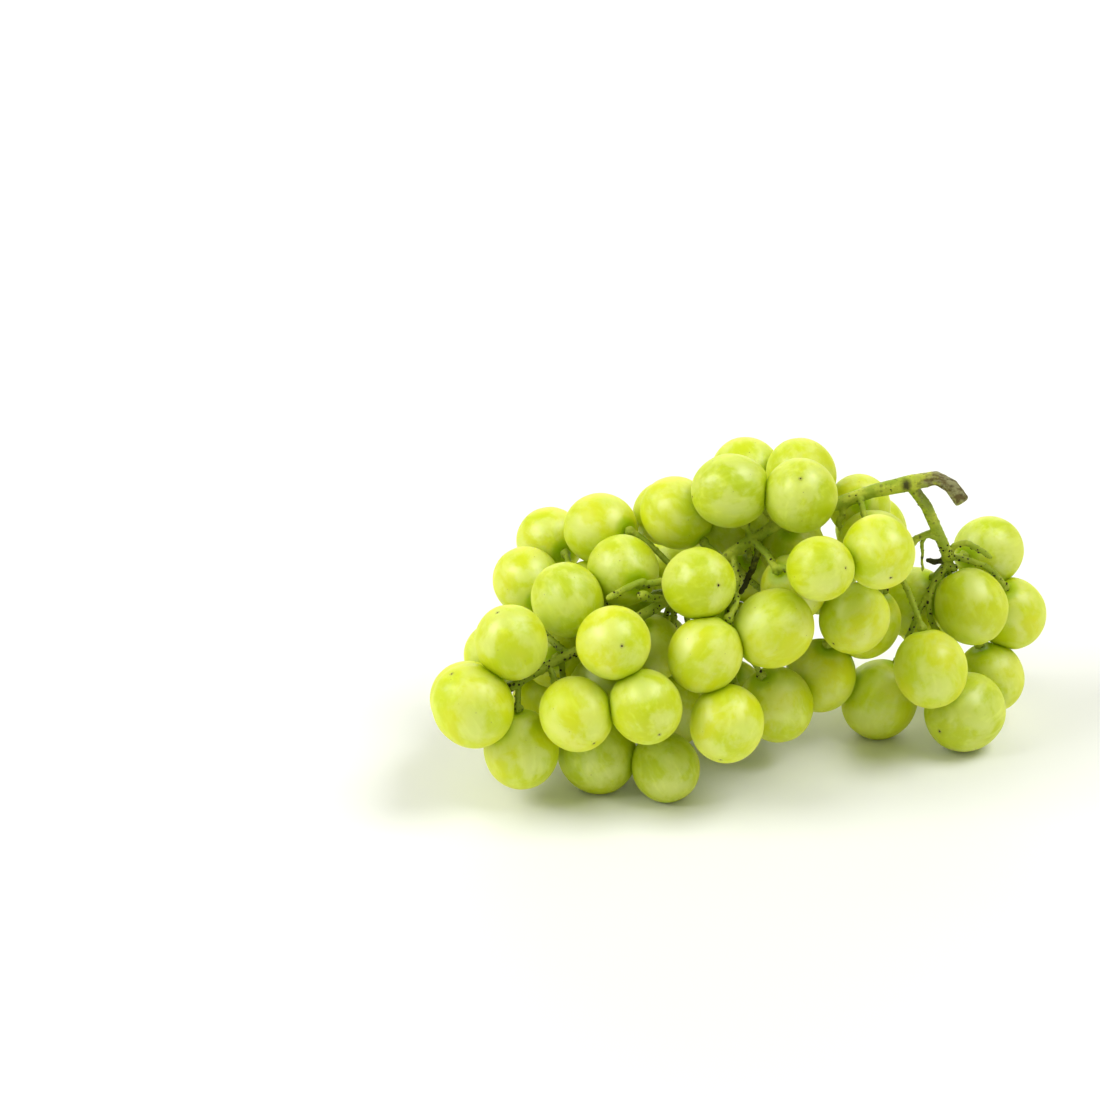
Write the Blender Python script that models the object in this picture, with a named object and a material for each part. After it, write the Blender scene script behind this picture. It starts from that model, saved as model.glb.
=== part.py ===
"""A bunch of white table grapes, lying on its side on a table.

X runs along the bunch towards its stalk, Y runs back and Z up from the table.
Every length and place is in millimetres and becomes metres where a mesh is made.
"""

import heapq
import math
import random

import bmesh
import bpy
import numpy as np
from mathutils import Vector

MM = 0.001

# The berries: a little longer than wide, with a shallow dimple where the pedicel ends.
# FACET_OUT moves the corners out, so that the flat facets keep the berry's true volume.
USUAL_RADIUS = 9.75
BERRY_STRETCH = 1.08
BERRY_SIDES = 10
BERRY_RINGS = 8
FACET_OUT = 1.02
DIMPLE_RADIUS = 2.7
DIMPLE_DEPTH = 0.9
DIMPLE_ANGLE = math.asin(DIMPLE_RADIUS / USUAL_RADIUS)

# Neighbours that hold a spray together press this far into each other; all others keep a gap.
LINK_PRESS = 1.3
BERRY_GAP = 0.55
TABLE_PRESS = 0.7
RESTING_BELOW = 2.5

# The stems, all as radii.
STALK_RADIUS = 2.0
RACHIS_TIP_RADIUS = 1.1
ARM_RADIUS = 1.5
TWIG_RADIUS = 0.95
PEDICEL_RADIUS = 0.8
COLLAR_RADIUS = 1.55
COLLAR_LENGTH = 1.6
STEM_GAP = 0.35
NODE_SWELL = 1.2
KNOB_SWELL = 1.5

# The hidden stems find their way on a grid, through room wide enough for them.
GRID_STEP = 1.5
LEAST_ROOM = 0.9
MOST_ROOM = 7.0
EASY_ROOM = 2.4

BERRY_GREEN = (0.50, 0.60, 0.16, 1.0)
STALK_GREEN = (0.30, 0.36, 0.12, 1.0)

# Each spray is the fruit of one side branch: a berry is its centre and its mean diameter.
SPRAYS = {
    "wing": [
        (69, 27, 46, 19.5),
        (64, 11, 38, 20.5),
        (76, 22, 30, 20),
        (50, -7, 28, 20.5),
        (62, -1, 12, 22),
        (71, 17, 13, 19),
        (48, 21, 34, 19.5),
        (55, 37, 22, 19),
    ],
    "right": [
        (28, -7, 43, 19),
        (34, 7, 34, 19.5),
        (22, 5, 20, 20),
        (40, 8, 12, 21.5),
        (9, -9, 17, 20.5),
    ],
    "crown": [
        (18, -24, 64, 17.5),
        (35, -17, 66, 19.5),
        (35, 0, 60, 19.5),
        (32, 17, 65, 17.5),
        (37, 29, 52, 20),
    ],
    "top": [
        (-4, -4, 78, 20),
        (15, -6, 77, 20),
        (2, 27, 70, 19.5),
        (16, 16, 74, 19.5),
        (-18, 3, 68, 19.5),
        (-20, 20, 61, 18),
        (-3, 11, 63, 19.5),
        (14, 9, 55, 18.5),
    ],
    "back": [
        (17, 33, 54, 19),
        (3, 25, 45, 19.5),
        (23, 23, 40, 18.5),
        (10, 25, 27, 20),
        (-5, 16, 31, 18.5),
        (-1, 12, 12, 19.5),
    ],
    "middle": [
        (-13, -21, 59, 19.5),
        (-12, -30, 43, 20),
        (7, -25, 47, 21),
        (-5, -36, 24, 20),
        (12, -9, 56, 18),
    ],
    "front": [
        (-35, -33, 47, 20),
        (-46, -39, 29, 19.5),
        (-26, -39, 32, 19.5),
        (-39, -24, 11, 21.5),
        (-21, -29, 9, 18.5),
        (-24, -13, 37, 18.5),
        (-38, -22, 30, 18),
    ],
    "left": [
        (-47, -15, 51, 19.5),
        (-37, 9, 60, 20),
        (-31, -8, 56, 19.5),
        (-58, 8, 46, 19),
        (-51, 24, 51, 19),
        (-40, 6, 42, 19),
    ],
    "under": [
        (-15, 32, 40, 19.5),
        (-30, 22, 37, 18.5),
        (-23, 7, 29, 19),
        (-37, 10, 17, 20),
        (-53, 13, 25, 18.5),
        (-18, 1, 12, 20),
    ],
    "tip": [
        (-71, -36, 30, 21.5),
        (-74, -17, 23, 20),
        (-61, -29, 46, 19.5),
        (-67, -1, 29, 18),
        (-59, -31, 15, 20.5),
        (-49, -8, 31, 18),
        (-53, -4, 15, 18.5),
    ],
}

# The open stems, from the cut end on: the rachis, the arm to the wing, and the twigs that show.
RACHIS = [
    (58, 2, 72),
    (55, 3, 76),
    (51, 4, 78),
    (44, 5, 76),
    (34, 5, 73.6),
    (25, 4, 70.5),
    (9, 1, 66),
    (-3, -4, 60),
    (-12, -9, 54),
    (-25, -17, 49),
    (-38, -22, 43),
    (-50, -25, 38),
    (-61, -29, 33),
]
ARM = [(44, 5, 76), (49, 6, 69), (52, 8, 62), (55, 11, 55), (57, 16, 49)]
TWIGS = [
    [(2, -2, 63), (6, -8, 61), (8, -13, 59)],
    [(-3, -4, 60), (-2, -10, 54), (-5, -17, 50)],
    [(-12, -9, 54), (-22, -14, 56), (-29, -17, 56)],
]
# Twigs whose berries never set: they end in a swollen knob.
BARE_TWIGS = [
    [(54, 9, 58), (50, 8, 60), (47, 7, 59), (45, 7, 57), (44, 7, 55)],
    [(-20, -14, 51), (-25, -18, 53), (-27, -20, 54.5), (-28, -21, 55.5)],
]


def clear_scene():
    for obj in list(bpy.data.objects):
        bpy.data.objects.remove(obj, do_unlink=True)


def principled(name, colour, roughness):
    material = bpy.data.materials.new(name)
    material.use_nodes = True
    shader = material.node_tree.nodes["Principled BSDF"]
    shader.inputs["Base Color"].default_value = colour
    shader.inputs["Roughness"].default_value = roughness
    shader.inputs["Metallic"].default_value = 0.0
    return material


# --- Where the berries lie -------------------------------------------------


def stem_segments():
    """The open stems as (start, end, radius) rows, thinner towards the rachis tip."""
    rows = []
    last = len(RACHIS) - 2
    for i, (start, end) in enumerate(zip(RACHIS, RACHIS[1:])):
        radius = STALK_RADIUS + (RACHIS_TIP_RADIUS - STALK_RADIUS) * i / last
        rows.append((start, end, radius))
    lines = [(ARM, ARM_RADIUS)] + [(twig, TWIG_RADIUS) for twig in TWIGS]
    lines += [(twig, TWIG_RADIUS * KNOB_SWELL) for twig in BARE_TWIGS]
    for line, radius in lines:
        rows += [(start, end, radius) for start, end in zip(line, line[1:])]
    starts, ends, radii = zip(*rows)
    return np.array(starts, float), np.array(ends, float), np.array(radii)


def nearest_on(points, starts, ends):
    """For each point and each segment: the nearest place on it, as (points, segments, 3)."""
    along = ends - starts
    share = ((points[:, None] - starts) * along).sum(2) / (along**2).sum(1)
    return starts + np.clip(share, 0, 1)[..., None] * along


def reach(axes, sizes, directions):
    """How far each stretched berry reaches from its centre in a direction."""
    wide = sizes / 2 * BERRY_STRETCH ** (-1 / 3)
    long = wide * BERRY_STRETCH
    lean = (axes * directions).sum(-1) ** 2
    return 1 / np.sqrt(lean / long**2 + (1 - lean) / wide**2)


def links_within(sprays, centres, sizes):
    """The shortest set of neighbour pairs that holds each spray together."""
    pairs = []
    for spray in sorted(set(sprays)):
        rest = [i for i, name in enumerate(sprays) if name == spray]
        held = [rest.pop(0)]
        while rest:
            gaps = [
                (np.linalg.norm(centres[a] - centres[b]) - (sizes[a] + sizes[b]) / 2, a, b)
                for a in held
                for b in rest
            ]
            _, a, b = min(gaps)
            pairs.append((a, b))
            held.append(b)
            rest.remove(b)
    return pairs


def inward_axes(centres, axes, starts, ends, sizes):
    """Turns each berry's stalk end to the nearest open stem, and off any neighbour in the way."""
    near = nearest_on(centres, starts, ends)
    distance = np.linalg.norm(near - centres[:, None], axis=2)
    target = near[np.arange(len(centres)), distance.argmin(1)] - centres
    target /= np.linalg.norm(target, axis=1)[:, None]
    root = centres + axes * (sizes[:, None] / 2 + 3.0)
    apart = root[:, None] - centres[None]
    far = np.linalg.norm(apart, axis=2) + np.eye(len(centres)) * 1e6
    crowd = np.maximum(0, sizes[None] / 2 + 2.4 - far)
    push = (apart / far[..., None] * crowd[..., None]).sum(1)
    turned = axes + 0.04 * target + 0.08 * push
    return turned / np.linalg.norm(turned, axis=1)[:, None]


def settle():
    """Presses the berries of each spray together, clear of the other sprays and the stems."""
    sprays = [name for name, berries in SPRAYS.items() for _ in berries]
    rows = np.array([berry for berries in SPRAYS.values() for berry in berries], float)
    home, sizes = rows[:, :3], rows[:, 3]
    centres = home.copy()
    starts, ends, stem_radii = stem_segments()
    axes = np.array([(0.0, 0.0, 1.0)] * len(home))
    count = len(home)
    resting = home[:, 2] < sizes / 2 + RESTING_BELOW
    for step in range(700):
        axes = inward_axes(centres, axes, starts, ends, sizes)
        apart = centres[:, None] - centres[None]
        far = np.linalg.norm(apart, axis=2) + np.eye(count) * 1e6
        way = apart / far[..., None]
        reaches = reach(axes[:, None], sizes[:, None], way)
        touch = reaches + reaches.T
        wanted = touch + BERRY_GAP
        if step % 40 == 0 and step < 400:
            links = links_within(sprays, centres, sizes)
        for a, b in links:
            wanted[a, b] = wanted[b, a] = touch[a, b] - LINK_PRESS
        move = (way * np.maximum(0, wanted - far)[..., None] * 0.25).sum(1)
        for a, b in links:
            pull = way[a, b] * max(0, far[a, b] - wanted[a, b]) * 0.25
            move[a] -= pull
            move[b] += pull
        near = nearest_on(centres, starts, ends)
        off = centres[:, None] - near
        distance = np.linalg.norm(off, axis=2)
        stem_way = off / distance[..., None]
        room = reach(axes[:, None], sizes[:, None], stem_way) + stem_radii + STEM_GAP
        move += (stem_way * np.maximum(0, room - distance)[..., None] * 0.3).sum(1)
        move += (home - centres) * 0.01
        centres = centres + move
        down = np.array([(0.0, 0.0, -1.0)] * count)
        lowest = reach(axes, sizes, down) - TABLE_PRESS
        centres[:, 2] = np.where(resting, lowest, np.maximum(centres[:, 2], lowest + TABLE_PRESS + 0.4))
    return sprays, centres.round(3), sizes, axes.round(4)


# --- Where the hidden stems run --------------------------------------------


def clearance(points, centres, sizes, axes):
    """How far each point is outside the nearest berry."""
    best = np.full(len(points), np.inf)
    for centre, size, axis in zip(centres, sizes, axes):
        off = points - centre
        far = np.linalg.norm(off, axis=1) + 1e-9
        best = np.minimum(best, far - reach(axis, size, off / far[:, None]))
    return best


def pedicel_ends(centres, sizes, axes):
    """The place just outside each dimple where the berry's own stem starts."""
    tops = reach(axes, sizes, axes)
    return centres + axes * (tops + COLLAR_LENGTH)[:, None]


def free_grid(centres, sizes, axes):
    """A grid over the bunch: its corner, its shape and the clearance at each point."""
    low = centres.min(0) - 14
    shape = tuple(int(n) for n in np.ceil((centres.max(0) + 14 - low) / GRID_STEP))
    index = np.indices(shape).reshape(3, -1).T
    room = clearance(low + index * GRID_STEP, centres, sizes, axes)
    return low, shape, room.reshape(shape)


def shortest_ways(low, shape, room):
    """Runs out from the open stems through the free room, and keeps for each point the way back."""
    starts, ends, radii = stem_segments()
    bearing = slice(4, None)
    steps = [(i, j, k) for i in (-1, 0, 1) for j in (-1, 0, 1) for k in (-1, 0, 1) if i or j or k]
    cost = np.full(shape, np.inf)
    back = {}
    queue = []
    index = np.argwhere((room > LEAST_ROOM) & (room < MOST_ROOM))
    places = low + index * GRID_STEP
    inside_ends = starts + 0.9 * (ends - starts)
    near = nearest_on(places, starts[bearing], inside_ends[bearing])
    distance = np.linalg.norm(near - places[:, None], axis=2)
    pick = distance.argmin(1)
    for cell, place, row, which in zip(index, near, distance, pick):
        if row[which] < GRID_STEP:
            cell = tuple(int(n) for n in cell)
            cost[cell] = row[which]
            back[cell] = tuple(float(n) for n in place[which])
            heapq.heappush(queue, (cost[cell], cell))
    while queue:
        so_far, cell = heapq.heappop(queue)
        if so_far > cost[cell]:
            continue
        for step in steps:
            there = (cell[0] + step[0], cell[1] + step[1], cell[2] + step[2])
            if min(there) < 0 or any(n >= most for n, most in zip(there, shape)):
                continue
            free = room[there]
            if free < LEAST_ROOM or free > MOST_ROOM:
                continue
            length = GRID_STEP * math.sqrt(step[0] ** 2 + step[1] ** 2 + step[2] ** 2)
            onward = so_far + length * (1 + 3 * max(0, EASY_ROOM - free) ** 2)
            if onward < cost[there]:
                cost[there] = onward
                back[there] = cell
                heapq.heappush(queue, (onward, there))
    return cost, back


def entry_cell(tip, low, cost):
    """The grid point next to a pedicel's end that is quickest to the open stems."""
    middle = [round(float(n)) for n in (tip - low) / GRID_STEP]
    around = [
        (middle[0] + i, middle[1] + j, middle[2] + k)
        for i in (-1, 0, 1)
        for j in (-1, 0, 1)
        for k in (-1, 0, 1)
    ]
    return min(around, key=lambda cell: cost[cell] + 2 * math.dist(cell, middle))


def trace_tree(low, cost, back, tips):
    """Follows each berry's way to the open stems, and lets ways that meet share one branch."""
    places, parents, made, ends = [], [], {}, []
    for tip in tips:
        chain = []
        cell = entry_cell(tip, low, cost)
        while isinstance(cell[0], int) and cell not in made:
            chain.append(cell)
            cell = back[cell]
        if isinstance(cell[0], int):
            parent = made[cell]
        else:
            parent = len(places)
            places.append(cell)
            parents.append(-1)
        for cell in reversed(chain):
            made[cell] = len(places)
            places.append(tuple(low + np.array(cell) * GRID_STEP))
            parents.append(parent)
            parent = made[cell]
        ends.append(len(places))
        places.append(tuple(tip))
        parents.append(parent)
    return np.array(places, float), np.array(parents), ends


def loads(parents, ends):
    """How many berries hang on each point of the tree."""
    load = np.zeros(len(parents), int)
    for node in ends:
        while node >= 0:
            load[node] += 1
            node = parents[node]
    return load


def branch_radius(load):
    return min(PEDICEL_RADIUS * load**0.22, ARM_RADIUS)


def ease(places, parents, ends, radii, centres, sizes, axes):
    """Smooths the branches and keeps them clear of every berry."""
    free = parents >= 0
    free[ends] = False
    child = np.nonzero(parents >= 0)[0]
    parent = parents[child]
    need = radii + STEM_GAP + 0.3
    for _ in range(80):
        total = np.zeros_like(places)
        count = np.zeros(len(places))
        np.add.at(total, child, places[parent])
        np.add.at(count, child, 1)
        np.add.at(total, parent, places[child])
        np.add.at(count, parent, 1)
        middle = total / count[:, None]
        places[free] += 0.35 * (middle - places)[free]
        for centre, size, axis in zip(centres, sizes, axes):
            off = places - centre
            far = np.linalg.norm(off, axis=1)
            way = off / far[:, None]
            short = reach(axis, size, way) + need - far
            pushed = free & (short > 0)
            places[pushed] += (way * short[:, None])[pushed] * 0.8
    return places


def strands(places, parents, ends):
    """Splits the tree into chains of points, the longest first, each ending inside another stem."""
    chains, taken = [], set()

    def chain_from(node):
        chain = [node]
        while parents[node] >= 0 and node not in taken:
            node = parents[node]
            chain.append(node)
        return chain

    rest = list(ends)
    while rest:
        longest = max(rest, key=lambda node: len(chain_from(node)))
        chain = chain_from(longest)
        rest.remove(longest)
        taken.update(chain)
        chains.append(chain)
    return chains


def thinned(chain, places):
    """Drops points that lie close together, and keeps both ends."""
    kept = [chain[0]]
    for node in chain[1:-1]:
        if np.linalg.norm(places[node] - places[kept[-1]]) > 3.4:
            kept.append(node)
    if len(kept) > 1 and np.linalg.norm(places[chain[-1]] - places[kept[-1]]) < 2.0:
        kept.pop()
    kept.append(chain[-1])
    return kept


# --- Building the meshes ---------------------------------------------------


def mesh_object(name, verts, faces, material, collection=None):
    """A new object from points in millimetres."""
    mesh = bpy.data.meshes.new(name)
    mesh.from_pydata([tuple(float(n) * MM for n in vert) for vert in verts], [], faces)
    mesh.materials.append(material)
    bm = bmesh.new()
    bm.from_mesh(mesh)
    bmesh.ops.recalc_face_normals(bm, faces=bm.faces)
    for face in bm.faces:
        face.smooth = True
    bm.to_mesh(mesh)
    bm.free()
    obj = bpy.data.objects.new(name, mesh)
    (collection or bpy.context.scene.collection).objects.link(obj)
    return obj


def berry_rings():
    """(distance from the axis, place along it) from the dimple to the far end, for a unit berry."""
    step = (math.pi - DIMPLE_ANGLE) / (BERRY_RINGS - 1)
    angles = [DIMPLE_ANGLE + step * i for i in range(BERRY_RINGS - 1)]
    return [(math.sin(a), math.cos(a)) for a in angles]


def make_berry(name, centre, size, axis, spin, material, collection):
    """One berry, its dimple towards its stalk."""
    wide = size / 2 * BERRY_STRETCH ** (-1 / 3)
    long = wide * BERRY_STRETCH
    turn = Vector(axis).to_track_quat("Z", "Y").to_matrix()
    spots = []
    for out, up in berry_rings():
        for k in range(BERRY_SIDES):
            angle = spin + 2 * math.pi * k / BERRY_SIDES
            spots.append(Vector((out * wide * math.cos(angle), out * wide * math.sin(angle), up * long)))
    rings = BERRY_RINGS - 1
    floor = spots[0].z - DIMPLE_DEPTH / FACET_OUT
    spots += [Vector((0, 0, floor)), Vector((0, 0, -long))]
    verts = [turn @ (spot * FACET_OUT) + Vector(centre) for spot in spots]
    pole, far = len(verts) - 2, len(verts) - 1
    faces = []
    for k in range(BERRY_SIDES):
        after = (k + 1) % BERRY_SIDES
        faces.append((k, after, pole))
        for ring in range(rings - 1):
            here, there = ring * BERRY_SIDES, (ring + 1) * BERRY_SIDES
            faces.append((here + k, there + k, there + after, here + after))
        last = (rings - 1) * BERRY_SIDES
        faces.append((last + k, far, last + after))
    return mesh_object(name, verts, faces, material, collection)


def make_tube(name, path, radii, sides, material, collection):
    """A closed tube along a path, with a radius at each point."""
    points = [Vector(point) for point in path]
    verts = []
    side = None
    for i, point in enumerate(points):
        ahead = points[min(i + 1, len(points) - 1)] - points[max(i - 1, 0)]
        ahead.normalize()
        if side is None:
            side = ahead.orthogonal()
        side = (side - ahead * side.dot(ahead)).normalized()
        across = ahead.cross(side)
        for k in range(sides):
            angle = 2 * math.pi * k / sides
            verts.append(point + (side * math.cos(angle) + across * math.sin(angle)) * radii[i])
    faces = [tuple(range(sides)), tuple(range(len(verts) - 1, len(verts) - 1 - sides, -1))]
    for i in range(len(points) - 1):
        for k in range(sides):
            after = (k + 1) % sides
            here, there = i * sides, (i + 1) * sides
            faces.append((here + k, here + after, there + after, there + k))
    return mesh_object(name, verts, faces, material, collection)


def fuse(name, collection):
    """Joins everything in a collection into one object of that name."""
    pieces = list(collection.objects)
    body = pieces[0]
    collection.objects.unlink(body)
    bpy.context.scene.collection.objects.link(body)
    body.name = name
    if len(pieces) > 1:
        join = body.modifiers.new("join", "BOOLEAN")
        join.operation = "UNION"
        join.operand_type = "COLLECTION"
        join.collection = collection
        join.solver = "EXACT"
        bpy.context.view_layer.objects.active = body
        bpy.ops.object.modifier_apply(modifier=join.name)
    for piece in pieces[1:]:
        bpy.data.objects.remove(piece, do_unlink=True)
    bpy.data.collections.remove(collection)
    body.data.name = name
    return body


def cut_flat(body):
    """Presses the lowest berries flat on the table."""
    bm = bmesh.new()
    bm.from_mesh(body.data)
    everything = list(bm.verts) + list(bm.edges) + list(bm.faces)
    cut = bmesh.ops.bisect_plane(
        bm, geom=everything, plane_co=(0, 0, 0), plane_no=(0, 0, -1), clear_outer=True
    )
    edges = [item for item in cut["geom_cut"] if isinstance(item, bmesh.types.BMEdge)]
    made = bmesh.ops.contextual_create(bm, geom=edges) if edges else {"faces": []}
    bmesh.ops.recalc_face_normals(bm, faces=bm.faces)
    for face in made["faces"]:
        face.smooth = False
    bm.to_mesh(body.data)
    bm.free()


def build_berries(sprays, centres, sizes, axes):
    random.seed(3)
    skin = principled("berry_skin", BERRY_GREEN, 0.32)
    for spray in SPRAYS:
        collection = bpy.data.collections.new(spray)
        for i, name in enumerate(sprays):
            if name == spray:
                spin = random.uniform(0, math.tau)
                make_berry(f"berry_{i}", centres[i], sizes[i], axes[i], spin, skin, collection)
        cut_flat(fuse(f"berries_{spray}", collection))


def collar_path(centre, size, axis, tip):
    """The swollen end of a pedicel, from its neck into the berry's dimple."""
    top = float(reach(axis, size, axis))
    rim = top * math.cos(DIMPLE_ANGLE) * FACET_OUT
    ends = [tip, centre + axis * (rim + 1.0), centre + axis * (rim - 0.05)]
    return ends, [PEDICEL_RADIUS, COLLAR_RADIUS, COLLAR_RADIUS * 0.8]


def build_stem(centres, sizes, axes):
    material = principled("stalk", STALK_GREEN, 0.6)
    collection = bpy.data.collections.new("stems")
    last = len(RACHIS) - 1
    radii = [STALK_RADIUS + (RACHIS_TIP_RADIUS - STALK_RADIUS) * i / last for i in range(last + 1)]
    radii[RACHIS.index(ARM[0])] *= NODE_SWELL
    make_tube("rachis", RACHIS, radii, 8, material, collection)
    make_tube("arm", ARM, [ARM_RADIUS] * len(ARM), 7, material, collection)
    for twig in TWIGS + BARE_TWIGS:
        radii = [TWIG_RADIUS] * len(twig)
        if twig in BARE_TWIGS:
            radii[-2] *= KNOB_SWELL
        make_tube("twig", twig, radii, 6, material, collection)
    tips = pedicel_ends(centres, sizes, axes)
    low, shape, room = free_grid(centres, sizes, axes)
    cost, back = shortest_ways(low, shape, room)
    places, parents, ends = trace_tree(low, cost, back, tips)
    load = loads(parents, ends)
    node_radii = np.array([branch_radius(n) for n in load])
    places = ease(places, parents, ends, node_radii, centres, sizes, axes).round(3)
    for chain in strands(places, parents, ends):
        berry = ends.index(chain[0])
        path, widths = collar_path(centres[berry], sizes[berry], axes[berry], places[chain[0]])
        path, widths = path[::-1], widths[::-1]
        for node in thinned(chain, places)[1:]:
            path.append(places[node])
            widths.append(node_radii[node])
        make_tube("branch", path, widths, 5, material, collection)
    return fuse("stem", collection)


def centre_over_origin():
    """Moves the whole bunch sideways until its box stands centred on the origin."""
    bodies = list(bpy.context.scene.collection.objects)
    points = [vert.co for body in bodies for vert in body.data.vertices]
    middle_x = (min(p.x for p in points) + max(p.x for p in points)) / 2
    middle_y = (min(p.y for p in points) + max(p.y for p in points)) / 2
    for body in bodies:
        body.location = (-middle_x, -middle_y, 0)


def main():
    clear_scene()
    sprays, centres, sizes, axes = settle()
    build_berries(sprays, centres, sizes, axes)
    build_stem(centres, sizes, axes)
    centre_over_origin()


main()
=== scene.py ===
import math
import random

import bmesh
import bpy
import numpy as np
from mathutils import Matrix, Vector, noise


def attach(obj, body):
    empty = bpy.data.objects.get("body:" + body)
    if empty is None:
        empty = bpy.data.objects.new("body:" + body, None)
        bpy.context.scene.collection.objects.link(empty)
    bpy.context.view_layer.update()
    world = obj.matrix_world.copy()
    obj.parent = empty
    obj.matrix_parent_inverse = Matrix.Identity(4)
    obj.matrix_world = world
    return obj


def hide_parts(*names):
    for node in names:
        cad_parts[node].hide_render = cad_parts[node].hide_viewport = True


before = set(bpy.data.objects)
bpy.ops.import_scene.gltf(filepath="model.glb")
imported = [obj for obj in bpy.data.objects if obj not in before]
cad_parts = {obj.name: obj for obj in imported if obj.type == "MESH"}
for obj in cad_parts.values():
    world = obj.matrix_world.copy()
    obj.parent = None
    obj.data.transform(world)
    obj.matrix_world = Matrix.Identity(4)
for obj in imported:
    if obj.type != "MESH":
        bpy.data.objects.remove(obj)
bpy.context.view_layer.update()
print("frame loaded")

mm = 0.001


# Small helpers for node trees

def newMaterial(name):
    material = bpy.data.materials.new(name)
    material.use_nodes = True
    tree = material.node_tree
    shader = tree.nodes["Principled BSDF"]
    return material, tree, shader


def addNode(tree, kind, **settings):
    node = tree.nodes.new(kind)
    for key, value in settings.items():
        if key in node.inputs:
            node.inputs[key].default_value = value
        else:
            setattr(node, key, value)
    return node


def mathNode(tree, operation, first, second=None, clamp=False):
    node = tree.nodes.new("ShaderNodeMath")
    node.operation = operation
    node.use_clamp = clamp
    for index, value in enumerate((first, second)):
        if value is None:
            continue
        if isinstance(value, (int, float)):
            node.inputs[index].default_value = value
        else:
            tree.links.new(value, node.inputs[index])
    return node.outputs[0]


def mapRange(tree, value, low, high, toLow=0.0, toHigh=1.0):
    node = tree.nodes.new("ShaderNodeMapRange")
    node.interpolation_type = "SMOOTHSTEP"
    tree.links.new(value, node.inputs["Value"])
    node.inputs["From Min"].default_value = low
    node.inputs["From Max"].default_value = high
    node.inputs["To Min"].default_value = toLow
    node.inputs["To Max"].default_value = toHigh
    return node.outputs["Result"]


def mixColour(tree, factor, first, second, blend="MIX"):
    node = tree.nodes.new("ShaderNodeMix")
    node.data_type = "RGBA"
    node.blend_type = blend
    slots = {"factor": node.inputs[0], "first": node.inputs[6], "second": node.inputs[7]}
    for key, value in (("factor", factor), ("first", first), ("second", second)):
        if isinstance(value, (int, float, tuple)):
            slots[key].default_value = value
        else:
            tree.links.new(value, slots[key])
    return node.outputs[2]


def noiseAt(tree, vector, scale, detail=3.0, roughness=0.5, distortion=0.0):
    node = tree.nodes.new("ShaderNodeTexNoise")
    node.inputs["Scale"].default_value = scale
    node.inputs["Detail"].default_value = detail
    node.inputs["Roughness"].default_value = roughness
    node.inputs["Distortion"].default_value = distortion
    tree.links.new(vector, node.inputs["Vector"])
    return node.outputs["Fac"]


# A dotted mask that skins and stems share: small round spots, in only some of the cells

def makeSpotGroup():
    group = bpy.data.node_groups.new("scatteredSpots", "ShaderNodeTree")
    face = group.interface
    face.new_socket("Vector", in_out="INPUT", socket_type="NodeSocketVector")
    for name, value in (("Scale", 400.0), ("Size", 0.12), ("Share", 0.3)):
        face.new_socket(name, in_out="INPUT", socket_type="NodeSocketFloat").default_value = value
    face.new_socket("Mask", in_out="OUTPUT", socket_type="NodeSocketFloat")
    start = group.nodes.new("NodeGroupInput")
    end = group.nodes.new("NodeGroupOutput")
    cells = group.nodes.new("ShaderNodeTexVoronoi")
    group.links.new(start.outputs["Vector"], cells.inputs["Vector"])
    group.links.new(start.outputs["Scale"], cells.inputs["Scale"])
    split = group.nodes.new("ShaderNodeSeparateColor")
    group.links.new(cells.outputs["Color"], split.inputs[0])
    uneven = mathNode(group, "ADD", split.outputs[1], 0.5)
    size = mathNode(group, "MULTIPLY", start.outputs["Size"], uneven)
    left = mathNode(group, "SUBTRACT", size, cells.outputs["Distance"])
    inside = mathNode(group, "DIVIDE", left, size, clamp=True)
    chosen = mathNode(group, "LESS_THAN", split.outputs[0], start.outputs["Share"])
    soft = mathNode(group, "MULTIPLY", mathNode(group, "MULTIPLY", inside, 2.5, clamp=True), chosen)
    group.links.new(soft, end.inputs["Mask"])
    return group


spotGroup = makeSpotGroup()


def spotsAt(tree, vector, scale, size, share):
    node = tree.nodes.new("ShaderNodeGroup")
    node.node_tree = spotGroup
    tree.links.new(vector, node.inputs["Vector"])
    node.inputs["Scale"].default_value = scale
    node.inputs["Size"].default_value = size
    node.inputs["Share"].default_value = share
    return node.outputs["Mask"]


def addPiece(name, bm, material):
    for face in bm.faces:
        face.smooth = True
    mesh = bpy.data.meshes.new(name)
    bm.to_mesh(mesh)
    bm.free()
    mesh.materials.append(material)
    piece = bpy.data.objects.new(name, mesh)
    bpy.context.scene.collection.objects.link(piece)
    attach(piece, "root")
    return piece


# Reading the berries of a spray back out of its fused solid

berryShape = {
    "stretch": 1.08,
    "facetOut": 1.02,      # the solid's corners stand this far out of the true skin
    "columns": 64,
    "rows": 44,
    "lump": 0.014,         # of the radius
    "dimpleWidth": 2.5 * mm,
    "dimpleDepth": 0.95 * mm,
    "dimpleFall": 2.2,
    "farDimpleWidth": 1.2 * mm,
    "farDimpleDepth": 0.25 * mm,
    "egg": (-0.012, 0.02),     # above 0 the stalk's half is the thinner one
    "contactGap": 0.04 * mm,
    "tableGap": 0.02 * mm,
    "neighbourReach": 1.1,     # times both radii: berries further apart don't press
    "shadeReach": 3.4 * mm,    # skin nearer to the next berry than this keeps less bloom and gets painted shade
}

sprayReading = {
    "foldAngle": math.radians(8),    # a crease deeper than this parts two berries
    "leastFaces": 25,
    "tableHeight": 1e-5,             # points lower than this lie on the flat underneath
    "dimpleRounds": 3,
    "fitRounds": 12,
}


def mergedCopy(node):
    bm = bmesh.new()
    bm.from_mesh(node.data)
    bmesh.ops.remove_doubles(bm, verts=bm.verts, dist=1e-6)
    bm.verts.ensure_lookup_table()
    bm.faces.ensure_lookup_table()
    return bm


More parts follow.
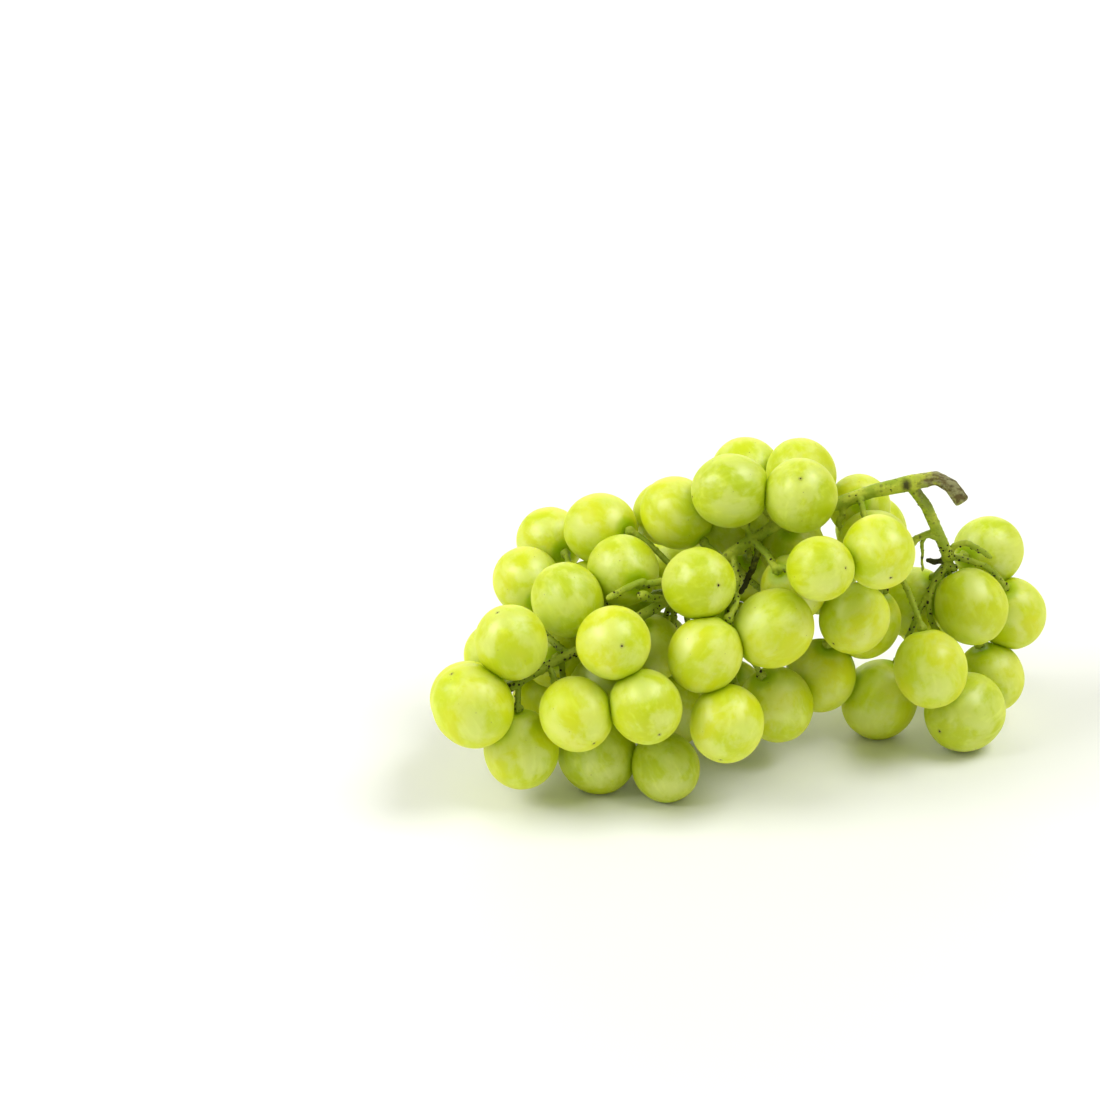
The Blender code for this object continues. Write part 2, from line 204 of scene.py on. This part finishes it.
def berryPatches(bm):
    # faces joined across any edge that doesn't fold inwards belong to one berry
    seen = set()
    patches = []
    for face in bm.faces:
        if face in seen:
            continue
        patch, queue = [], [face]
        seen.add(face)
        while queue:
            here = queue.pop()
            patch.append(here)
            for edge in here.edges:
                if len(edge.link_faces) != 2:
                    continue
                if edge.calc_face_angle_signed(0.0) < -sprayReading["foldAngle"]:
                    continue
                for other in edge.link_faces:
                    if other not in seen:
                        seen.add(other)
                        queue.append(other)
        if len(patch) > sprayReading["leastFaces"]:
            patches.append(patch)
    return patches


def fitBall(points):
    rows = np.c_[2 * points, np.ones(len(points))]
    answer = np.linalg.lstsq(rows, (points ** 2).sum(1), rcond=None)[0]
    centre = answer[:3]
    return centre, math.sqrt(answer[3] + centre @ centre)


def fitBerry(patch):
    # the dimple's floor is the point nearest the middle: it shows where the stalk ends
    points = np.array([vert.co[:] for vert in {v for face in patch for v in face.verts}])
    flat = points[:, 2] < sprayReading["tableHeight"]
    skin = points[~flat]
    centre, _ = fitBall(skin)
    for _ in range(sprayReading["dimpleRounds"]):
        far = np.linalg.norm(skin - centre, axis=1)
        floor = far.argmin()
        keep = np.ones(len(skin), bool)
        keep[floor] = False
        centre, _ = fitBall(skin[keep])
    axis = skin[floor] - centre
    axis /= np.linalg.norm(axis)
    body = skin[keep]
    stretch = berryShape["stretch"]
    for _ in range(sprayReading["fitRounds"]):
        # squeezed along the axis by the stretch, the berry is a ball again
        along = (body - centre) @ axis
        squeezed = body - np.outer(along, axis) * (1 - 1 / stretch)
        middle, wide = fitBall(squeezed)
        shift = middle - centre
        shift += axis * (shift @ axis) * (stretch - 1)
        centre = centre + shift
    return Vector(centre), Vector(axis).normalized(), wide


def readSpray(node):
    bm = mergedCopy(node)
    berries = [fitBerry(patch) for patch in berryPatches(bm)]
    bm.free()
    return [(centre, axis, wide / berryShape["facetOut"]) for centre, axis, wide in berries]


def shapeBerry(bm, berry, seed):
    # a lumpy, slightly egg-shaped ball with its poles on the berry's axis, +Z at the stalk
    centre, axis, wide = berry
    made = bmesh.ops.create_uvsphere(
        bm, u_segments=berryShape["columns"], v_segments=berryShape["rows"], radius=1.0
    )
    rng = random.Random(seed)
    offset = Vector((rng.uniform(0, 50), rng.uniform(0, 50), rng.uniform(0, 50)))
    turn = axis.to_track_quat("Z", "Y").to_matrix()
    spin = Matrix.Rotation(rng.uniform(0, math.tau), 3, "Z")
    egg = rng.uniform(*berryShape["egg"])
    tone = rng.random()
    places = bm.verts.layers.float_vector["berryPlace"]
    tones = bm.verts.layers.float["berryTone"]
    for vert in made["verts"]:
        unit = vert.co.copy()
        vert[places] = unit
        vert[tones] = tone
        lump = noise.noise(unit * 1.3 + offset) + 0.35 * noise.noise(unit * 3.1 + offset)
        size = wide * (1 + berryShape["lump"] * lump - egg * unit.z * (1 - abs(unit.z)))
        spot = Vector((unit.x * size, unit.y * size, unit.z * size * berryShape["stretch"]))
        out = math.hypot(spot.x, spot.y)
        if unit.z > 0:
            fall = berryShape["dimpleFall"]
            hollow = math.exp(-((out / berryShape["dimpleWidth"]) ** 2) * fall)
            spot.z -= berryShape["dimpleDepth"] * hollow
        else:
            hollow = math.exp(-((out / berryShape["farDimpleWidth"]) ** 2))
            spot.z += berryShape["farDimpleDepth"] * hollow
        vert.co = turn @ (spin @ spot) + centre
    return made["verts"]


def pressTogether(verts, berry, others):
    # where two berries would overlap, both end on the plane between them
    centre, _, wide = berry
    for other, _, otherWide in others:
        between = other - centre
        gap = between.length
        if gap > (wide + otherWide) * berryShape["neighbourReach"]:
            continue
        way = between / gap
        limit = gap * wide / (wide + otherWide) - berryShape["contactGap"]
        for vert in verts:
            past = (vert.co - centre).dot(way) - limit
            if past > 0:
                vert.co -= way * past
    for vert in verts:
        vert.co.z = max(vert.co.z, berryShape["tableGap"])


def markOpenSkinAndPaintedShade(verts, others, layer):
    # 1 on free skin, falling to 0 where the next berry touches; it sets the bloom and the painted
    # shade between berries
    spots = np.array([vert.co[:] for vert in verts])
    middles = np.array([centre[:] for centre, _, _ in others])
    radii = np.array([wide for _, _, wide in others])
    gaps = np.linalg.norm(spots[:, None] - middles[None], axis=2) - radii
    free = np.clip(gaps.min(axis=1) / berryShape["shadeReach"], 0, 1)
    for vert, value in zip(verts, free):
        vert[layer] = value


# Grape skin: translucent flesh under a thin dull bloom that is rubbed off near the next
# berry, painted shade that deepens the skin there, pale streaks, and a few tiny brown dots

skinLook = {
    "flesh": (0.56, 0.66, 0.002, 1),
    "yellow": (0.64, 0.69, 0.004, 1),
    "shade": (0.43, 0.55, 0.002, 1),
    "deep": (0.42, 0.58, 0.001, 1),
    "streak": (0.72, 0.81, 0.09, 1),
    "bloom": (0.78, 0.85, 0.26, 1),
    "bloomShare": 0.36,
    "streakShare": 0.5,
    "paintedShadeShare": 0.45,    # how far painted shade deepens the skin where berries crowd
    "dot": (0.20, 0.17, 0.02, 1),
    "dotShare": 0.75,
    "dots": (5.5, 0.075, 0.22),    # their scale, size, and share of the cells
    "cloudScale": 0.9,
    "streakScale": 1.6,
    "dustScale": 1.35,
    "grainScale": 900.0,
    "grain": 0.18,
    "depth": 0.013,
    "depthColour": (1.0, 0.9, 0.12),
    "forward": 0.5,
    "clearRough": 0.42,      # roughness of rubbed and of dusty skin
    "dustyRough": 0.58,
    "coatRough": 0.50,
    "coatIor": 2.0,
    "ior": 1.40,
    "specular": 0.35,
}


def makeSkin():
    material, tree, shader = newMaterial("grapeSkin")
    links = tree.links
    place = addNode(tree, "ShaderNodeAttribute", attribute_name="berryPlace")
    tone = addNode(tree, "ShaderNodeAttribute", attribute_name="berryTone").outputs["Fac"]
    coords = addNode(tree, "ShaderNodeTexCoord").outputs["Object"]

    # each berry looks up its own part of every pattern
    own = addNode(tree, "ShaderNodeCombineXYZ")
    links.new(mathNode(tree, "MULTIPLY", tone, 37.0), own.inputs[0])
    links.new(mathNode(tree, "MULTIPLY", tone, 91.0), own.inputs[1])
    shifted = addNode(tree, "ShaderNodeVectorMath", operation="ADD")
    links.new(place.outputs["Vector"], shifted.inputs[0])
    links.new(own.outputs[0], shifted.inputs[1])
    local = shifted.outputs[0]
    stretched = addNode(tree, "ShaderNodeMapping")
    stretched.inputs["Scale"].default_value = (3.4, 3.4, 0.9)
    links.new(local, stretched.inputs["Vector"])

    # soft clouds of yellow, pale lengthwise streaks, a milky bloom on the open skin, and
    # painted shade: deeper green where berries crowd each other
    clouds = noiseAt(tree, local, skinLook["cloudScale"], detail=1.0, roughness=0.4)
    cloudy = mapRange(tree, clouds, 0.3, 0.7)
    colour = mixColour(tree, cloudy, skinLook["flesh"], skinLook["yellow"])
    darker = mapRange(tree, tone, 0.3, 1.0, 0.0, 0.6)
    colour = mixColour(tree, darker, colour, skinLook["shade"])
    veins = noiseAt(tree, stretched.outputs[0], skinLook["streakScale"], distortion=0.3)
    streaked = mapRange(tree, veins, 0.46, 0.78, 0.0, skinLook["streakShare"])
    colour = mixColour(tree, streaked, colour, skinLook["streak"])
    free = addNode(tree, "ShaderNodeAttribute", attribute_name="berryBloomAndPaintedShade").outputs["Fac"]
    bare = mapRange(tree, free, 0.1, 1.0, 0.0, 1.0)
    dust = noiseAt(
        tree, local, skinLook["dustScale"], detail=5.0, roughness=0.55, distortion=0.25
    )
    dusty = mapRange(tree, dust, 0.37, 0.62, 0.0, 1.0)
    kept = mathNode(tree, "MULTIPLY", dusty, bare)
    milky = mathNode(tree, "MULTIPLY", kept, skinLook["bloomShare"])
    colour = mixColour(tree, milky, colour, skinLook["bloom"])
    # painted shade: the skin turns deeper green close to the next berry, where shade falls inside
    # the bunch
    paintedShade = mapRange(tree, free, 0.0, 0.7, skinLook["paintedShadeShare"], 0.0)
    colour = mixColour(tree, paintedShade, colour, skinLook["deep"])

    # a brownish ring round the far pole, a deeper cup at the stalk, and scattered dots
    split = addNode(tree, "ShaderNodeSeparateXYZ")
    links.new(place.outputs["Vector"], split.inputs[0])
    wobble = noiseAt(tree, local, 14.0, detail=2.0)
    edge = mathNode(tree, "ADD", split.outputs[2], mathNode(tree, "MULTIPLY", wobble, 0.004))
    ring = mapRange(tree, edge, -0.9975, -0.9945, 0.5, 0.0)
    cup = mapRange(tree, edge, 0.88, 0.965, 0.0, 0.8)
    dots = spotsAt(tree, local, *skinLook["dots"])
    dots = mathNode(tree, "MULTIPLY", dots, skinLook["dotShare"])
    colour = mixColour(tree, cup, colour, skinLook["deep"])
    colour = mixColour(tree, ring, colour, skinLook["dot"])
    colour = mixColour(tree, dots, colour, skinLook["dot"])
    links.new(colour, shader.inputs["Base Color"])

    rough = mapRange(tree, dusty, 0.0, 1.0, skinLook["clearRough"], skinLook["dustyRough"])
    links.new(rough, shader.inputs["Roughness"])
    waxy = mapRange(tree, dusty, 0.0, 1.0, 0.22, 1.0)
    shine = mathNode(tree, "MULTIPLY", waxy, mathNode(tree, "SUBTRACT", 1.0, cup))
    facing = addNode(tree, "ShaderNodeLayerWeight", Blend=0.5).outputs["Facing"]
    shine = mathNode(tree, "MULTIPLY", shine, mapRange(tree, facing, 0.2, 0.7, 1.0, 0.0))
    links.new(shine, shader.inputs["Coat Weight"])
    shader.inputs["Coat Roughness"].default_value = skinLook["coatRough"]
    shader.inputs["Coat IOR"].default_value = skinLook["coatIor"]
    shader.inputs["Subsurface Weight"].default_value = 1.0
    shader.inputs["Subsurface Radius"].default_value = skinLook["depthColour"]
    shader.inputs["Subsurface Scale"].default_value = skinLook["depth"]
    shader.inputs["Subsurface Anisotropy"].default_value = skinLook["forward"]
    shader.inputs["IOR"].default_value = skinLook["ior"]
    shader.inputs["Specular IOR Level"].default_value = skinLook["specular"]

    fine = noiseAt(tree, coords, skinLook["grainScale"], detail=2.0)
    relief = mathNode(tree, "MULTIPLY", fine, 0.06)
    bump = addNode(tree, "ShaderNodeBump", Strength=skinLook["grain"], Distance=0.0004)
    links.new(relief, bump.inputs["Height"])
    links.new(bump.outputs[0], shader.inputs["Normal"])
    return material


# The dry speck that each flower left at its berry's far end

scarShape = {
    "radius": 0.29 * mm,
    "proud": 0.07 * mm,
    "rough": 0.3,
    "openPole": 0.95,      # a pole nearer the middle than this share is pressed in
    "clearOfTable": 0.5 * mm,
}

scarLook = {
    "dark": (0.012, 0.009, 0.004, 1),
    "brown": (0.060, 0.038, 0.014, 1),
    "patchScale": 1300.0,
    "roughness": 0.75,
}


def makeDrySkin():
    material, tree, shader = newMaterial("dryBrown")
    coords = addNode(tree, "ShaderNodeTexCoord").outputs["Object"]
    patches = noiseAt(tree, coords, scarLook["patchScale"], detail=2.0)
    patches = mapRange(tree, patches, 0.4, 0.62)
    colour = mixColour(tree, patches, scarLook["dark"], scarLook["brown"])
    tree.links.new(colour, shader.inputs["Base Color"])
    shader.inputs["Roughness"].default_value = scarLook["roughness"]
    shader.inputs["Specular IOR Level"].default_value = 0.2
    return material


def addLump(bm, place, way, radius, proud, seed, finer=2):
    # a flattened, uneven lump sunk into a surface that faces this way
    made = bmesh.ops.create_icosphere(bm, subdivisions=finer, radius=1.0)
    turn = Vector(way).to_track_quat("Z", "Y").to_matrix()
    offset = Vector((seed * 3.7, seed * 1.3, 0.0))
    for vert in made["verts"]:
        size = 1 + scarShape["rough"] * noise.noise(vert.co * 1.6 + offset)
        spot = Vector((vert.co.x * radius, vert.co.y * radius, vert.co.z * proud)) * size
        vert.co = turn @ spot + place


def farPole(verts, berry, places):
    # the skin's point at the flower end, or nothing where a neighbour presses on it
    centre, _, wide = berry
    pole = min(verts, key=lambda vert: vert[places].z)
    reach = (pole.co - centre).length
    if reach < wide * berryShape["stretch"] * scarShape["openPole"]:
        return None
    if pole.co.z < scarShape["clearOfTable"]:
        return None
    return pole.co.copy()


def buildSprays():
    skin = makeSkin()
    names = [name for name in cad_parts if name.startswith("berries_")]
    sprays = {name: readSpray(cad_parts[name]) for name in names}
    everyBerry = [berry for spray in sprays.values() for berry in spray]
    print("berries read:", {name: len(berries) for name, berries in sprays.items()})
    scars = []
    for number, name in enumerate(sorted(sprays)):
        bm = bmesh.new()
        bm.verts.layers.float_vector.new("berryPlace")
        bm.verts.layers.float.new("berryTone")
        bm.verts.layers.float.new("berryBloomAndPaintedShade")
        for index, berry in enumerate(sprays[name]):
            verts = shapeBerry(bm, berry, 100 * number + index)
            pressTogether(verts, berry, [other for other in sprays[name] if other is not berry])
            others = [other for other in everyBerry if other is not berry]
            markOpenSkinAndPaintedShade(verts, others, bm.verts.layers.float["berryBloomAndPaintedShade"])
            pole = farPole(verts, berry, bm.verts.layers.float_vector["berryPlace"])
            if pole is not None:
                scars.append((pole, -berry[1]))
        piece = addPiece(name.replace("berries", "grapes"), bm, skin)
        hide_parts(name)
    return scars


def buildScars(scars, dry):
    bm = bmesh.new()
    rng = random.Random(11)
    for place, way in scars:
        radius = scarShape["radius"] * rng.uniform(0.7, 1.25)
        addLump(bm, place, way, radius, scarShape["proud"], rng.uniform(0, 9))
    addPiece("blossom_scars", bm, dry)


drySkin = makeDrySkin()
scars = buildSprays()
buildScars(scars, drySkin)
print("grapes built,", len(scars), "specks")


# The stem: the solid's tubes run into each other smoothly, with warts and a rough cut end

stemShape = {
    "voxel": 0.34 * mm,
    "smoothing": 5,
    "fuller": 0.16 * mm,    # skin over the solid's plain tubes
    "wart": 0.16 * mm,
    "wartScale": 0.95,
    "ridge": 0.08 * mm,
    "ridgeScale": (0.35, 1.4, 1.4),
    "mainFrom": 45 * mm,    # the stalk and the arm run above this height, and the look
    "mainBlend": 20 * mm,   # of thin twigs fades out over this much more
    "agedLength": 22 * mm,
    "junctionReach": 2.1 * mm,
    "witheredReach": 0.8 * mm,
    "twigStep": 0.35 * mm,
    "lumps": 560,
    "lumpRadius": 0.33 * mm,
}

# Thin bare twigs without berries. Each leaves the stem at its root and bends from its start to
# its end heading, in degrees clockwise from straight up as seen from the front, within the
# given share of its length. Lengths are in millimetres, and lean is towards the front.

bareTwigs = {
    "hook": {"root": (52, 11, 60), "length": 14, "start": 275, "end": 178, "within": 0.5,
             "lean": 0.1, "wave": 10, "radii": (0.62, 0.34), "withered": False},
    "longTwig": {"root": (-28, -14, 57), "length": 12, "start": 265, "end": 255, "within": 1.0,
                 "lean": 0.75, "wave": 6, "radii": (0.8, 0.7), "withered": False},
    "stub": {"root": (56, 18, 48.5), "length": 7, "start": 275, "end": 290, "within": 1.0,
             "lean": 0.5, "wave": 12, "radii": (0.8, 0.6), "withered": True},
    "curl": {"root": (56, 18, 49), "length": 16, "start": 0, "end": 120, "within": 0.75,
             "lean": 0.3, "wave": 10, "radii": (0.85, 0.6), "withered": False},
    "crumple": {"root": (27, 6, 71), "length": 9, "start": 205, "end": 185, "within": 1.0,
                "lean": 0.15, "wave": 38, "radii": (0.9, 0.6), "withered": False},
    "sliver": {"root": (3, 1, 63), "length": 16, "start": 180, "end": 205, "within": 0.6,
               "lean": 0.25, "wave": 10, "radii": (0.9, 0.6), "withered": True},
}

stemLook = {
    "green": (0.30, 0.40, 0.020, 1),
    "yellow": (0.56, 0.62, 0.055, 1),
    "twig": (0.25, 0.33, 0.020, 1),
    "brown": (0.125, 0.095, 0.028, 1),
    "ash": (0.30, 0.29, 0.13, 1),
    "dark": (0.022, 0.017, 0.007, 1),
    "junction": (42, 6, 76),       # the middle of the dark patch, in millimetres
    "warts": (820.0, 0.36, 0.32),    # their scale, size, and share of the cells
    "wartShare": 0.95,
    "specks": (1900.0, 0.34, 0.24),
    "speckShare": 0.7,
    "broadScale": 160.0,
    "patchScale": 420.0,
    "barkScale": 700.0,
    "roughness": 0.55,
    "relief": 0.55,
}


def makeStemMaterial():
    material, tree, shader = newMaterial("greenStalk")
    links = tree.links
    coords = addNode(tree, "ShaderNodeTexCoord").outputs["Object"]
    age = addNode(tree, "ShaderNodeAttribute", attribute_name="stemAge").outputs["Fac"]
    thick = addNode(tree, "ShaderNodeAttribute", attribute_name="stemMain").outputs["Fac"]
    broad = noiseAt(tree, coords, stemLook["broadScale"], detail=4.0, roughness=0.6)
    paler = mapRange(tree, broad, 0.38, 0.66)
    colour = mixColour(tree, paler, stemLook["green"], stemLook["yellow"])
    thin = mathNode(tree, "SUBTRACT", 1.0, thick)
    colour = mixColour(tree, mathNode(tree, "MULTIPLY", thin, 0.55), colour, stemLook["twig"])
    patchy = noiseAt(tree, coords, stemLook["patchScale"], detail=5.0, roughness=0.7)
    ragged = mathNode(tree, "MULTIPLY", mathNode(tree, "SUBTRACT", patchy, 0.5), 0.9)
    aged = mathNode(tree, "ADD", age, ragged)
    brown = mapRange(tree, aged, 0.42, 0.8)
    fibre = addNode(tree, "ShaderNodeMapping")
    fibre.inputs["Scale"].default_value = (0.5, 1.6, 0.9)
    links.new(coords, fibre.inputs["Vector"])
    bark = noiseAt(tree, fibre.outputs[0], stemLook["barkScale"], detail=4.0, roughness=0.6)
    fibrous = mapRange(tree, bark, 0.40, 0.62)
    dead = mixColour(tree, fibrous, stemLook["brown"], stemLook["ash"])
    colour = mixColour(tree, brown, colour, dead)
    withered = addNode(tree, "ShaderNodeAttribute", attribute_name="stemWithered").outputs["Fac"]
    blotch = mathNode(tree, "MULTIPLY", withered, mathNode(tree, "ADD", patchy, 0.55))
    dry = mapRange(tree, blotch, 0.35, 0.85, 0.0, 0.92)
    colour = mixColour(tree, dry, colour, stemLook["dark"])
    warts = spotsAt(tree, coords, *stemLook["warts"])
    specks = spotsAt(tree, coords, *stemLook["specks"])
    darkWarts = mathNode(tree, "MULTIPLY", warts, stemLook["wartShare"])
    darkSpecks = mathNode(tree, "MULTIPLY", specks, stemLook["speckShare"])
    spots = mathNode(tree, "MAXIMUM", darkWarts, darkSpecks)
    spots = mathNode(tree, "MULTIPLY", spots, mapRange(tree, thick, 0.0, 1.0, 1.0, 0.45))
    colour = mixColour(tree, spots, colour, stemLook["dark"])
    links.new(colour, shader.inputs["Base Color"])
    shader.inputs["Roughness"].default_value = stemLook["roughness"]
    shader.inputs["Specular IOR Level"].default_value = 0.25
    shader.inputs["Subsurface Weight"].default_value = 0.15
    shader.inputs["Subsurface Radius"].default_value = (1.0, 1.0, 0.3)
    shader.inputs["Subsurface Scale"].default_value = 0.0008
    rough = mathNode(tree, "MULTIPLY", patchy, 0.5)
    relief = mathNode(tree, "ADD", rough, mathNode(tree, "MULTIPLY", warts, 0.8))
    bump = addNode(tree, "ShaderNodeBump", Strength=stemLook["relief"], Distance=0.0003)
    links.new(relief, bump.inputs["Height"])
    links.new(bump.outputs[0], shader.inputs["Normal"])
    return material


def twigPath(twig, step):
    # short steps from the root, each turned a little further than the one before
    length = twig["length"] * mm
    count = math.ceil(length / step)
    spots = [Vector(twig["root"]) * mm]
    for index in range(count):
        share = min(1.0, index / count / twig["within"])
        eased = share * share * (3 - 2 * share)
        turned = twig["start"] + (twig["end"] - twig["start"]) * eased
        heading = math.radians(turned + twig["wave"] * math.sin(index * 0.5))
        way = Vector((math.sin(heading), -twig["lean"], math.cos(heading))).normalized()
        spots.append(spots[-1] + way * length / count)
    return spots


def addBareTwigs(bm):
    withered = []
    for twig in bareTwigs.values():
        spots = twigPath(twig, stemShape["twigStep"])
        start, end = twig["radii"]
        for index, spot in enumerate(spots):
            share = index / (len(spots) - 1)
            radius = (start + (end - start) * share) * mm * (1 + 0.12 * math.sin(index * 1.9))
            place = Matrix.Translation(spot)
            bmesh.ops.create_icosphere(bm, subdivisions=2, radius=radius, matrix=place)
            if twig["withered"]:
                withered.append(spot)
    return withered


def stemAttributes(mesh, points, withered):
    # how aged the stem is near its cut end, how thick, and where it is dark and withered
    cutEnd = points[(points[:, 0] + points[:, 2]).argmax()]
    age = np.clip(1 - np.linalg.norm(points - cutEnd, axis=1) / stemShape["agedLength"], 0, 1)
    main = np.clip((points[:, 2] - stemShape["mainFrom"]) / stemShape["mainBlend"], 0, 1)
    patch = np.linalg.norm(points - np.array(stemLook["junction"]) * mm, axis=1)
    dark = np.exp(-((patch / stemShape["junctionReach"]) ** 2))
    for spot in withered:
        away = np.linalg.norm(points - np.array(spot), axis=1)
        dark = np.maximum(dark, np.clip(1.6 - away / stemShape["witheredReach"], 0, 1))
    for name, values in (("stemAge", age), ("stemMain", main), ("stemWithered", dark)):
        layer = mesh.attributes.new(name, "FLOAT", "POINT")
        layer.data.foreach_set("value", values.astype(np.float32))
    return main


def dropPockets(mesh):
    # a pocket that the remesh closes in is left as a tiny shell, and only the largest shell stays
    bm = bmesh.new()
    bm.from_mesh(mesh)
    rest = set(bm.verts)
    shells = []
    for start in bm.verts:
        if start not in rest:
            continue
        rest.remove(start)
        shell, queue = [], [start]
        while queue:
            vert = queue.pop()
            shell.append(vert)
            for edge in vert.link_edges:
                other = edge.other_vert(vert)
                if other in rest:
                    rest.remove(other)
                    queue.append(other)
        shells.append(shell)
    shells.sort(key=len)
    for shell in shells[:-1]:
        bmesh.ops.delete(bm, geom=shell, context="VERTS")
    bm.to_mesh(mesh)
    bm.free()
    print("pockets dropped:", len(shells) - 1)


def buildStem(dry):
    bm = mergedCopy(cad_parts["stem"])
    withered = addBareTwigs(bm)
    piece = addPiece("stalk_and_twigs", bm, makeStemMaterial())
    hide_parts("stem")
    remesh = piece.modifiers.new("even", "REMESH")
    remesh.mode = "VOXEL"
    remesh.voxel_size = stemShape["voxel"]
    remesh.use_smooth_shade = True
    relax = piece.modifiers.new("relax", "SMOOTH")
    relax.factor = 0.5
    relax.iterations = stemShape["smoothing"]
    bpy.context.view_layer.objects.active = piece
    for modifier in ("even", "relax"):
        bpy.ops.object.modifier_apply(modifier=modifier)
    mesh = piece.data
    dropPockets(mesh)
    points = np.empty(len(mesh.vertices) * 3, np.float32)
    mesh.vertices.foreach_get("co", points)
    points = points.reshape(-1, 3)
    main = stemAttributes(mesh, points, withered)
    normals = [vert.normal.copy() for vert in mesh.vertices]
    for index, vert in enumerate(mesh.vertices):
        spot = Vector(points[index]) / mm
        wart = max(0.0, noise.noise(spot * stemShape["wartScale"])) ** 2
        wart *= 3.6 - 2.0 * main[index]    # stronger on the thin twigs
        ridge = noise.noise(spot * Vector(stemShape["ridgeScale"]))
        out = stemShape["fuller"] + stemShape["wart"] * wart + stemShape["ridge"] * ridge
        vert.co += normals[index] * out
    addDryLumps(mesh, normals, main, dry)
    print("stem built,", len(mesh.polygons), "faces")


def addDryLumps(mesh, normals, main, dry):
    # withered buds and bark specks that stud the thin twigs, and a few on the stalk
    bm = bmesh.new()
    rng = random.Random(23)
    placed = 0
    while placed < stemShape["lumps"]:
        index = rng.randrange(len(normals))
        if main[index] > 0.6 and rng.random() < 0.85:
            continue
        radius = stemShape["lumpRadius"] * rng.uniform(0.5, 1.35)
        seed = rng.uniform(0, 9)
        place = mesh.vertices[index].co
        addLump(bm, place, normals[index], radius, radius * 0.7, seed, finer=1)
        placed += 1
    addPiece("dry_buds", bm, dry)


buildStem(drySkin)


# Floor, light and camera

stageLook = {
    "floor": (0.94, 0.94, 0.935, 1),
    "floorSize": 3.0,
    "floorRough": 0.6,
    "world": 0.35,
    "worldColour": (0.98, 1.0, 0.80, 1),
}

# Each softbox: its place and size in metres, and its power in watts

softboxes = {
    "softboxLeft": {"place": (-2.2, -0.5, 1.9), "size": (1.8, 1.5), "power": 51.0},
    "softboxRight": {"place": (1.5, -0.2, 2.6), "size": (1.8, 1.5), "power": 50.0},
    "softboxBack": {"place": (0.0, 3.0, 0.9), "size": (3.0, 1.2), "power": 32.0},
}


def buildStage():
    bm = bmesh.new()
    bmesh.ops.create_grid(bm, x_segments=1, y_segments=1, size=stageLook["floorSize"])
    mesh = bpy.data.meshes.new("floor")
    bm.to_mesh(mesh)
    bm.free()
    material, _, shader = newMaterial("paleFloor")
    shader.inputs["Base Color"].default_value = stageLook["floor"]
    shader.inputs["Roughness"].default_value = stageLook["floorRough"]
    shader.inputs["Specular IOR Level"].default_value = 0.2
    mesh.materials.append(material)
    floor = bpy.data.objects.new("floor", mesh)
    bpy.context.scene.collection.objects.link(floor)
    world = bpy.data.worlds.new("studio")
    world.use_nodes = True
    background = world.node_tree.nodes["Background"]
    background.inputs["Color"].default_value = stageLook["worldColour"]
    background.inputs["Strength"].default_value = stageLook["world"]
    bpy.context.scene.world = world
    bpy.context.scene.view_settings.view_transform = "Standard"


def buildLights():
    target = Vector((0, 0, 0.04))    # the middle of the bunch
    for name, box in softboxes.items():
        light = bpy.data.lights.new(name, "AREA")
        light.shape = "RECTANGLE"
        light.size, light.size_y = box["size"]
        light.energy = box["power"]
        lamp = bpy.data.objects.new(name, light)
        lamp.location = box["place"]
        lamp.rotation_euler = (target - lamp.location).to_track_quat("-Z", "Y").to_euler()
        bpy.context.scene.collection.objects.link(lamp)


cameraView = {
    "elevation": math.radians(24.0),
    "distance": 0.9,
    "lens": 107.5,
    "aim": (-0.0526, 0.0238, 0.0491),
}


def buildCamera():
    camera = bpy.data.cameras.new("camera")
    camera.lens = cameraView["lens"]
    camera.sensor_width = 36.0
    camera.clip_start = 0.01
    holder = bpy.data.objects.new("camera", camera)
    tilt, far = cameraView["elevation"], cameraView["distance"]
    aim = Vector(cameraView["aim"])
    holder.location = aim + Vector((0, -math.cos(tilt) * far, math.sin(tilt) * far))
    holder.rotation_euler = (math.pi / 2 - tilt, 0, 0)
    bpy.context.scene.collection.objects.link(holder)
    bpy.context.scene.camera = holder


buildStage()
buildLights()
buildCamera()
print("stage, lights and camera set")
